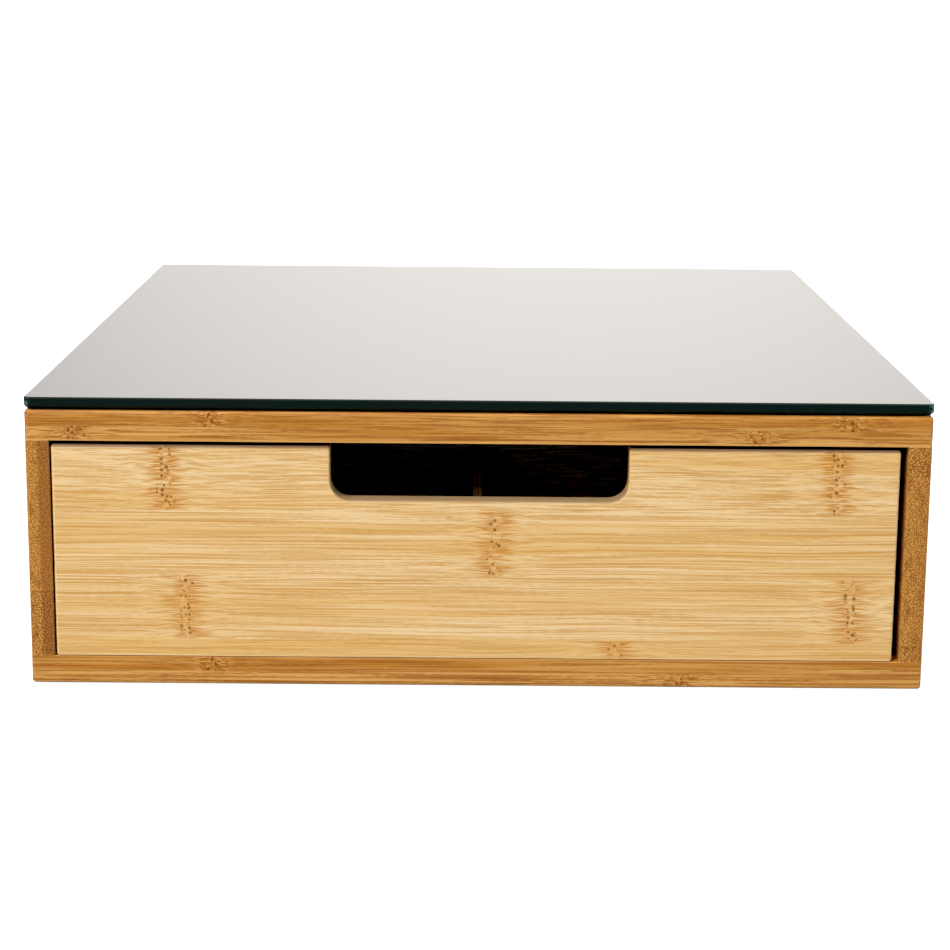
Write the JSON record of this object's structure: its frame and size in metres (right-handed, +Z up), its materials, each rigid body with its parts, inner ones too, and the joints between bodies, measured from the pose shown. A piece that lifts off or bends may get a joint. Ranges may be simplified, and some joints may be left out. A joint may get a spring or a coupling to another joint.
{
  "type": "tea bag drawer box",
  "caption": "Low bamboo tabletop box with a dark glass top and one full-width drawer, pulled by a finger notch and divided into compartments for tea bags.",
  "frame": {"origin": "centre of the footprint, on the surface that the foot pads stand on", "axes": "+Z up, +X to the right as seen from the front, +Y from the front to the back, so the drawer opens along -Y"},
  "size_m": [0.3104, 0.3654, 0.1028],
  "materials": {
    "case_bamboo": "caramel strand of carbonised bamboo, satin lacquer",
    "drawer_bamboo": "natural pale bamboo strips, satin lacquer",
    "dowel_wood": "plain turned hardwood",
    "dark_glass": "polished plate, tinted dark, with ground edges",
    "clear_adhesive": "clear elastic adhesive",
    "foot_rubber": "soft matt rubber",
    "screw_steel": "zinc plated"
  },
  "bodies": {
    "case": {"case_top_panel": "case_bamboo", "case_bottom_panel": "case_bamboo", "case_side_left": "case_bamboo", "case_side_right": "case_bamboo", "case_back_panel": "case_bamboo", "case_dowels": "dowel_wood", "case_screws": "screw_steel", "glass_top": "dark_glass", "glass_bond_pads": "clear_adhesive", "foot_pad_front_left": "foot_rubber", "foot_pad_rear_left": "foot_rubber", "foot_pad_front_right": "foot_rubber", "foot_pad_rear_right": "foot_rubber"},
    "drawer": {"drawer_front": "drawer_bamboo", "drawer_side_left": "drawer_bamboo", "drawer_side_right": "drawer_bamboo", "drawer_back": "drawer_bamboo", "drawer_floor": "drawer_bamboo", "drawer_front_dowels": "dowel_wood", "drawer_back_dowels": "dowel_wood", "divider_long_left": "drawer_bamboo", "divider_long_centre": "drawer_bamboo", "divider_long_right": "drawer_bamboo", "divider_cross_front": "drawer_bamboo", "divider_cross_rear": "drawer_bamboo"}
  },
  "joints": [
    {"name": "drawer_slide", "type": "slide", "parent": "case", "child": "drawer", "axis": [0, -1, 0], "range_m": [0, 0.3]}
  ]
}
